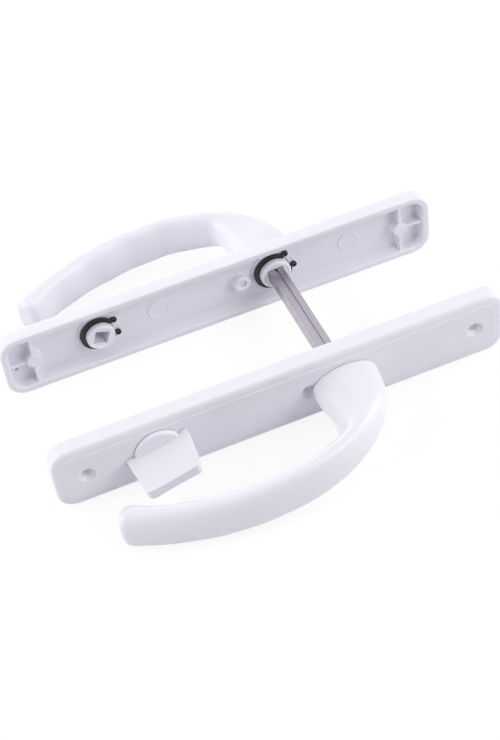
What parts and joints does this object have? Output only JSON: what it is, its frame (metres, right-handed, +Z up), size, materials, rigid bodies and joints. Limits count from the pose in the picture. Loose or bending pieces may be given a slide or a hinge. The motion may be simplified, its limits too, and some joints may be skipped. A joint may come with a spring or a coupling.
{
  "type": "privacy door handle",
  "caption": "Privacy door handle: long plates with D-shaped finger-grip levers on a square spindle, a thumb turn and a coin release, standing on the plates' edges.",
  "frame": {"origin": "on the surface the handle stands on, midway between the two plates and midway along them", "axes": "+X along the plates, from the thumb turn's end towards the spindle's end; +Y through the door, from the inner plate to the outer plate; +Z up"},
  "size_m": [0.232, 0.2018, 0.036],
  "materials": {
    "white_plate": "smooth semi-gloss white powder coat",
    "white_lever": "smooth semi-gloss white powder coat",
    "white_turn": "smooth semi-gloss white powder coat",
    "steel_bar": "bright zinc plate with drawing lines",
    "nylon_washer": "plain moulded nylon",
    "black_circlip": "oil-blackened spring steel"
  },
  "bodies": {
    "inner_side": {"inner_plate": "white_plate", "inner_lever_washer": "nylon_washer", "privacy_turn_washer": "nylon_washer"},
    "inner_handle": {"inner_lever": "white_lever", "spindle": "steel_bar", "inner_lever_circlip": "black_circlip"},
    "thumb_turn": {"privacy_turn": "white_turn", "privacy_turn_circlip": "black_circlip"},
    "outer_side": {"outer_plate": "white_plate", "outer_lever_washer": "nylon_washer", "coin_release_washer": "nylon_washer"},
    "outer_handle": {"outer_lever": "white_lever", "outer_lever_circlip": "black_circlip"},
    "release_disc": {"coin_release": "white_turn", "coin_release_circlip": "black_circlip"}
  },
  "joints": [
    {"name": "lever_turn", "type": "hinge", "parent": "inner_side", "child": "inner_handle", "pos_m": [0.0303, -0.0365, 0.018], "axis": [0, 1, 0], "range_deg": [0, 138]},
    {"name": "thumb_turn_bolt", "type": "hinge", "parent": "inner_side", "child": "thumb_turn", "pos_m": [-0.0647, -0.0365, 0.018], "axis": [0, 1, 0], "range_deg": [-76.7, 13.3]},
    {"name": "door_thickness", "type": "slide", "parent": "inner_side", "child": "outer_side", "axis": [0, 1, 0], "range_m": [-0.0245, 0.005]},
    {"name": "outer_lever_turn", "type": "hinge", "parent": "outer_side", "child": "outer_handle", "pos_m": [0.0303, 0.0365, 0.018], "axis": [0, 1, 0], "range_deg": [0, 138]},
    {"name": "coin_release_turn", "type": "hinge", "parent": "outer_side", "child": "release_disc", "pos_m": [-0.0647, 0.0365, 0.018], "axis": [0, 1, 0], "range_deg": [-20, 70]}
  ],
  "couplings": [
    {"joint": "outer_lever_turn", "follows": "lever_turn", "ratio": 1}
  ]
}
